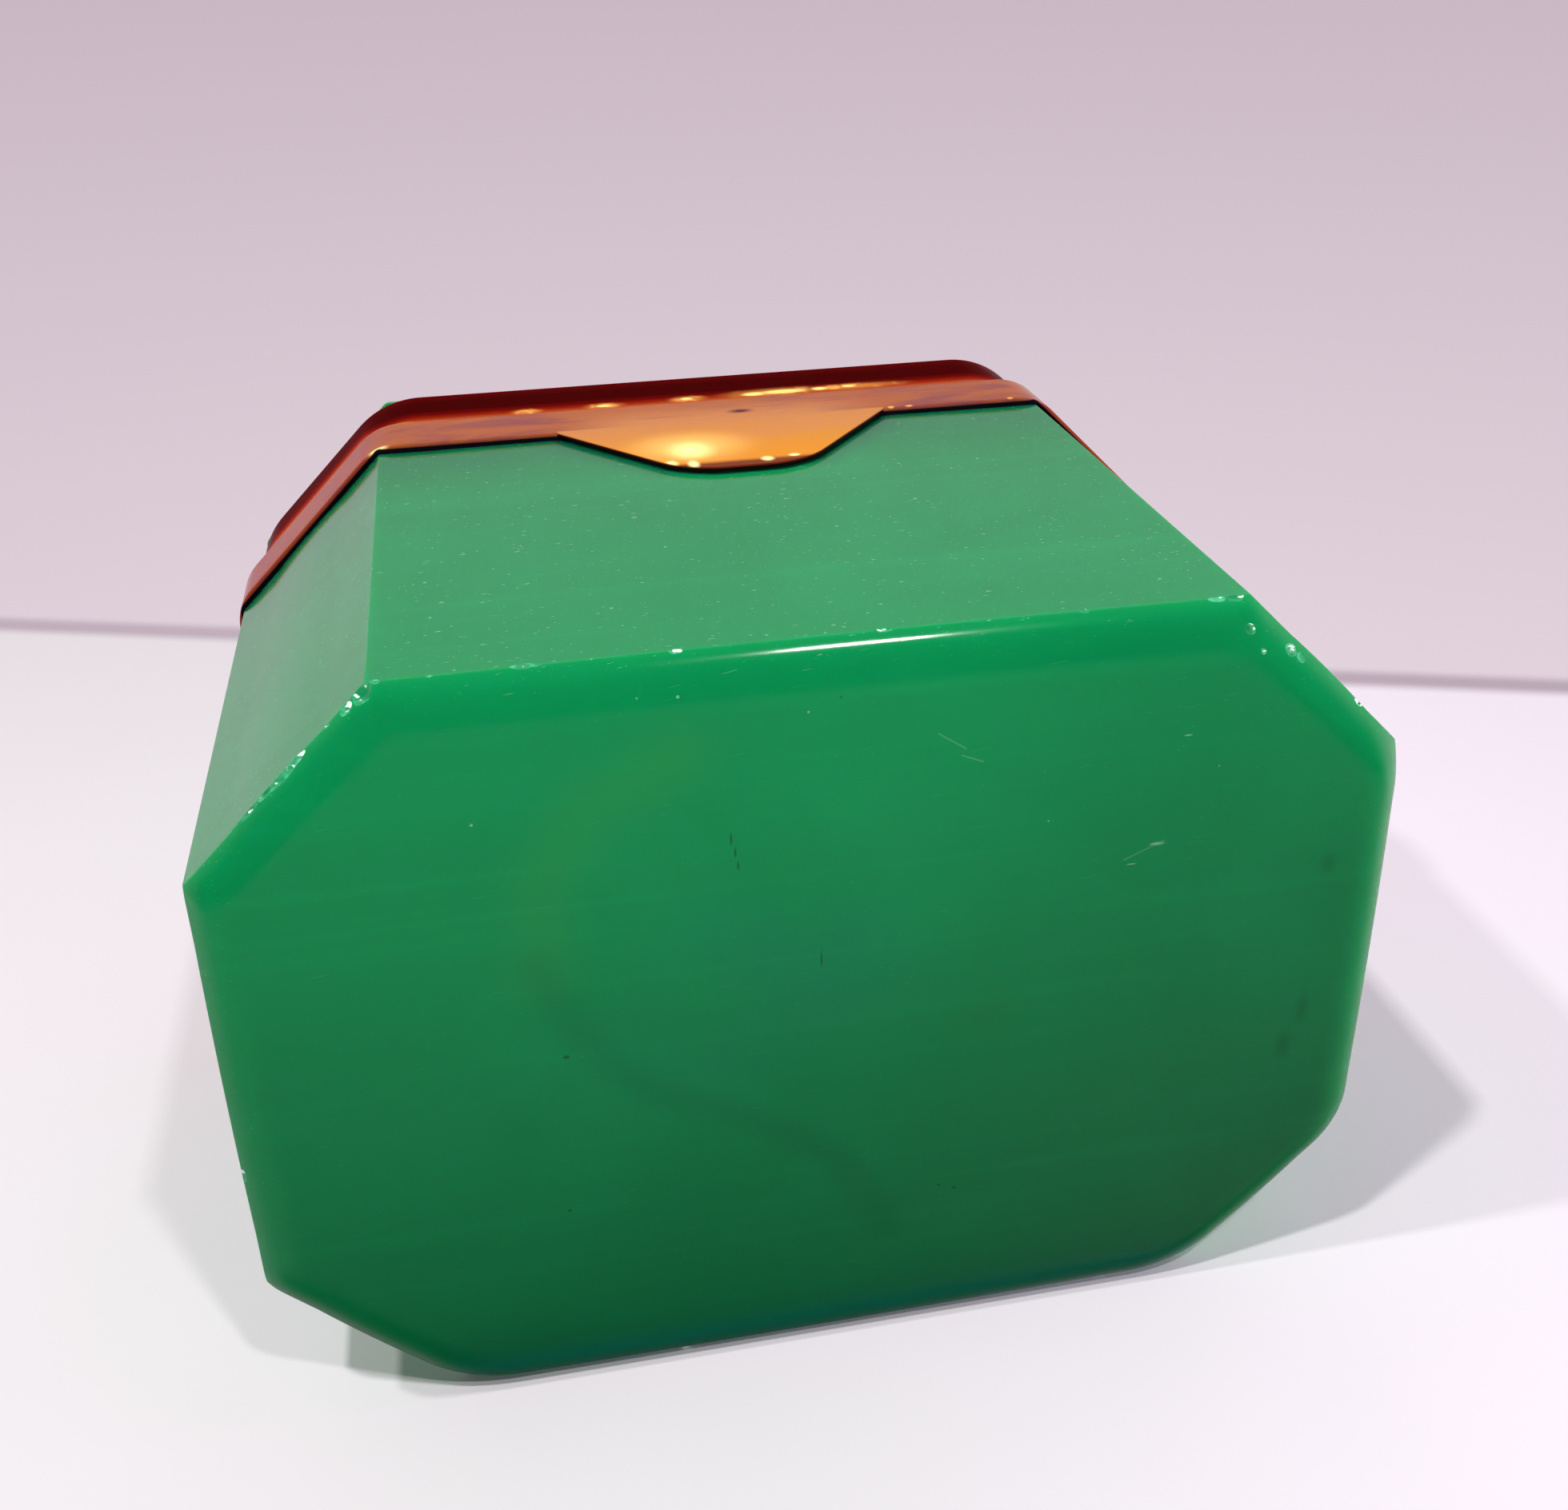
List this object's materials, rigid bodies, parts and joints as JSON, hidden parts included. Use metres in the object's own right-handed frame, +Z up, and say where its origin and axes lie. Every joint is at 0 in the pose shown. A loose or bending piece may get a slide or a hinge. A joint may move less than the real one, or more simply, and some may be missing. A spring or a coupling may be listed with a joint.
{
  "type": "powder jar",
  "caption": "Octagonal powder jar in jade-green resin with a stepped amber lid that lifts straight off by a thumb tab at the front.",
  "frame": {"origin": "centre of the flat underside, on the surface that the jar stands on", "axes": "+Z up through the lid, -Y out of the front wall that carries the thumb tab, +X along the long side"},
  "size_m": [0.1036, 0.0746, 0.0786],
  "materials": {
    "jade": "polished translucent cast resin",
    "amber": "polished transparent cast resin",
    "amber_tab": "polished transparent resin sheet",
    "jade_panel": "polished translucent laminate"
  },
  "bodies": {
    "jar": {"jar_body": "jade"},
    "lid": {"lid_rim": "amber", "thumb_tab": "amber_tab", "lid_crown": "amber", "lid_panel": "jade_panel"}
  },
  "joints": [
    {"name": "lid_lift", "type": "slide", "parent": "jar", "child": "lid", "axis": [0, 0, 1], "range_m": [0, 0.08]}
  ]
}
